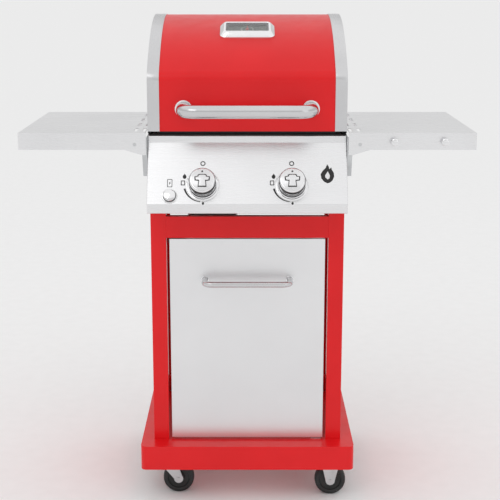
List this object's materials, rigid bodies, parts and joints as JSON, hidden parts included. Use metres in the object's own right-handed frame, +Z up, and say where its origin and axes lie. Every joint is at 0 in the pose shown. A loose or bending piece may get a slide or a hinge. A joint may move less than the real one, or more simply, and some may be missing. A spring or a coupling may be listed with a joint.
{
  "type": "gas barbecue grill",
  "caption": "Gas barbecue on a cabinet cart: hinged lid, inset door, push-turn control knobs, fold-down side shelves and casters.",
  "frame": {"origin": "on the ground, under the middle of the bounding box", "axes": "+Z up, +X to the right of someone facing the front, -Y out of the front"},
  "size_m": [1.032, 0.5284, 1.1455],
  "materials": {
    "red_paint": "gloss",
    "stainless": "brushed",
    "chrome": "polished",
    "zinc": "zinc plated",
    "black_rubber": "matte",
    "black_enamel": "satin",
    "cast_iron": "enamelled",
    "brass": "satin",
    "cast_aluminium": "cast",
    "black_plastic": "matte",
    "ceramic": "glazed",
    "dial_print": "matte",
    "needle_paint": "matte",
    "probe_steel": "brushed",
    "clear_glass": "clear"
  },
  "bodies": {
    "cart": {"base_pan": "red_paint", "burners": "zinc", "cart_screws": "zinc", "caster_rails": "zinc", "control_bezels": "chrome", "control_panel": "stainless", "cooking_grates": "cast_iron", "door_hinge_pins": "zinc", "door_magnet_catch": "black_plastic", "firebox": "black_enamel", "fixed_caster_forks": "zinc", "flame_tamers": "black_enamel", "front_crossbar": "red_paint", "gas_inlet_fitting": "brass", "gas_manifold": "zinc", "grease_tray_rails": "zinc", "igniter_electrodes": "ceramic", "igniter_module": "black_plastic", "left_shelf_bracket": "zinc", "left_side_panel": "red_paint", "lid_bumpers": "black_rubber", "lid_hinge_brackets": "zinc", "rear_braces": "red_paint", "right_shelf_bracket": "zinc", "right_side_panel": "red_paint", "swivel_caster_plates": "zinc", "valve_bodies": "cast_aluminium"},
    "door": {"door_skin": "stainless", "door_liner": "zinc", "door_handle": "stainless", "door_handle_ferrules": "chrome"},
    "lid": {"lid_shell": "red_paint", "lid_left_cap": "stainless", "lid_right_cap": "stainless", "lid_handle": "stainless", "lid_handle_ferrules": "chrome", "thermometer_bezel": "chrome", "thermometer_dial": "dial_print", "thermometer_lens": "clear_glass", "thermometer_probe": "probe_steel"},
    "needle": {"thermometer_needle": "needle_paint"},
    "left_shelf": {"left_shelf": "stainless"},
    "right_shelf": {"right_shelf": "stainless", "tool_hooks": "chrome"},
    "left_valve": {"left_valve_stem": "zinc"},
    "right_valve": {"right_valve_stem": "zinc"},
    "left_knob": {"left_knob": "chrome"},
    "right_knob": {"right_knob": "chrome"},
    "igniter_button": {"igniter_button": "chrome"},
    "grease_tray": {"grease_tray": "black_enamel"},
    "front_left_caster": {"front_left_caster_fork": "zinc"},
    "rear_left_caster": {"rear_left_caster_fork": "zinc"},
    "front_left_wheel": {"front_left_wheel": "black_rubber"},
    "rear_left_wheel": {"rear_left_wheel": "black_rubber"},
    "front_right_wheel": {"front_right_wheel": "black_rubber"},
    "rear_right_wheel": {"rear_right_wheel": "black_rubber"}
  },
  "joints": [
    {"name": "lid_hinge", "type": "hinge", "parent": "cart", "child": "lid", "pos_m": [0, 0.226, 0.916], "axis": [-1, 0, 0], "range_deg": [0, 85]},
    {"name": "needle_turn", "type": "hinge", "parent": "lid", "child": "needle", "pos_m": [0, -0.0298, 1.10992], "axis": [0, -0.3859, 0.9225], "range_deg": [-120, 120]},
    {"name": "door_hinge", "type": "hinge", "parent": "cart", "child": "door", "pos_m": [0.166, -0.131, 0.39], "axis": [0, 0, 1], "range_deg": [0, 110]},
    {"name": "left_shelf_fold", "type": "hinge", "parent": "cart", "child": "left_shelf", "pos_m": [-0.254, 0.025, 0.866], "axis": [0, -1, 0], "range_deg": [0, 90]},
    {"name": "right_shelf_fold", "type": "hinge", "parent": "cart", "child": "right_shelf", "pos_m": [0.254, 0.025, 0.866], "axis": [0, 1, 0], "range_deg": [0, 90]},
    {"name": "left_valve_turn", "type": "hinge", "parent": "cart", "child": "left_valve", "pos_m": [-0.1, -0.2199, 0.779], "axis": [0, -0.866, 0.5001], "range_deg": [0, 180]},
    {"name": "left_knob_push", "type": "slide", "parent": "left_valve", "child": "left_knob", "axis": [0, 0.866, -0.5001], "range_m": [0, 0.004], "stiffness_N_per_m": 800, "springref_m": -0.002},
    {"name": "right_valve_turn", "type": "hinge", "parent": "cart", "child": "right_valve", "pos_m": [0.1, -0.2199, 0.779], "axis": [0, -0.866, 0.5001], "range_deg": [0, 180]},
    {"name": "right_knob_push", "type": "slide", "parent": "right_valve", "child": "right_knob", "axis": [0, 0.866, -0.5001], "range_m": [0, 0.004], "stiffness_N_per_m": 800, "springref_m": -0.002},
    {"name": "igniter_push", "type": "slide", "parent": "cart", "child": "igniter_button", "axis": [0, 0.866, -0.5001], "range_m": [0, 0.004], "stiffness_N_per_m": 600, "springref_m": -0.002},
    {"name": "grease_tray_slide", "type": "slide", "parent": "cart", "child": "grease_tray", "axis": [0, 1, 0], "range_m": [0, 0.3]},
    {"name": "front_left_swivel", "type": "hinge", "parent": "cart", "child": "front_left_caster", "pos_m": [-0.2, -0.126, 0.095], "axis": [0, 0, 1], "continuous": true},
    {"name": "front_left_wheel_spin", "type": "hinge", "parent": "front_left_caster", "child": "front_left_wheel", "pos_m": [-0.168, -0.126, 0.0375], "axis": [0, 1, 0], "continuous": true},
    {"name": "rear_left_swivel", "type": "hinge", "parent": "cart", "child": "rear_left_caster", "pos_m": [-0.2, 0.199, 0.095], "axis": [0, 0, 1], "continuous": true},
    {"name": "rear_left_wheel_spin", "type": "hinge", "parent": "rear_left_caster", "child": "rear_left_wheel", "pos_m": [-0.168, 0.199, 0.0375], "axis": [0, 1, 0], "continuous": true},
    {"name": "front_right_wheel_spin", "type": "hinge", "parent": "cart", "child": "front_right_wheel", "pos_m": [0.202, -0.139, 0.0375], "axis": [0, 1, 0], "continuous": true},
    {"name": "rear_right_wheel_spin", "type": "hinge", "parent": "cart", "child": "rear_right_wheel", "pos_m": [0.202, 0.199, 0.0375], "axis": [0, 1, 0], "continuous": true}
  ]
}
